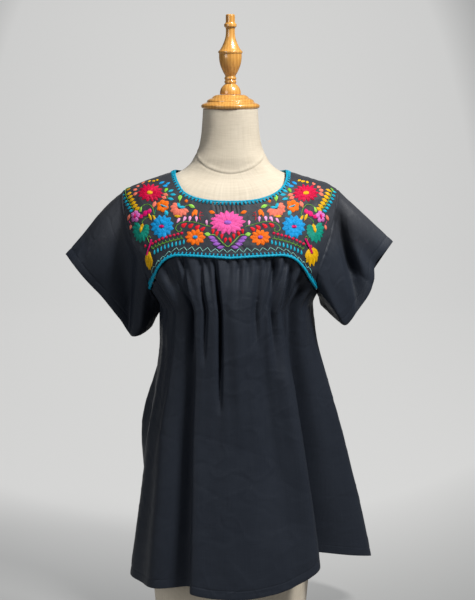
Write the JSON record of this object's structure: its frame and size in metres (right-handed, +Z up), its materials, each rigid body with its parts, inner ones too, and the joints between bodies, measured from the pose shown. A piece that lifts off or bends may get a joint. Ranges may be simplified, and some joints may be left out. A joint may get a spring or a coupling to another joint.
{
  "type": "huipil blouse on a dress form",
  "caption": "Short-sleeved black cotton blouse with a wide yoke, gathered body and corded edging, worn on a limbless dress form with a turned wood finial.",
  "frame": {"origin": "the middle of the dress form's flat underside", "axes": "+Z up through the neck finial, -Y the way the blouse's front faces, +X to the right of a viewer facing it"},
  "size_m": [0.5858, 0.3645, 1.0663],
  "materials": {
    "black_cotton": "plain-woven black cotton with a faint sheen",
    "turquoise_cotton": "worked cotton cord edging",
    "linen": "taut natural linen",
    "varnished_wood": "gloss varnish"
  },
  "bodies": {
    "root": {"yoke": "black_cotton", "body_front": "black_cotton", "body_back": "black_cotton", "sleeve_left": "black_cotton", "sleeve_right": "black_cotton", "neck_trim": "turquoise_cotton", "yoke_trim": "turquoise_cotton", "form_body": "linen", "neck_cap": "varnished_wood", "neck_finial": "varnished_wood"}
  },
  "joints": []
}
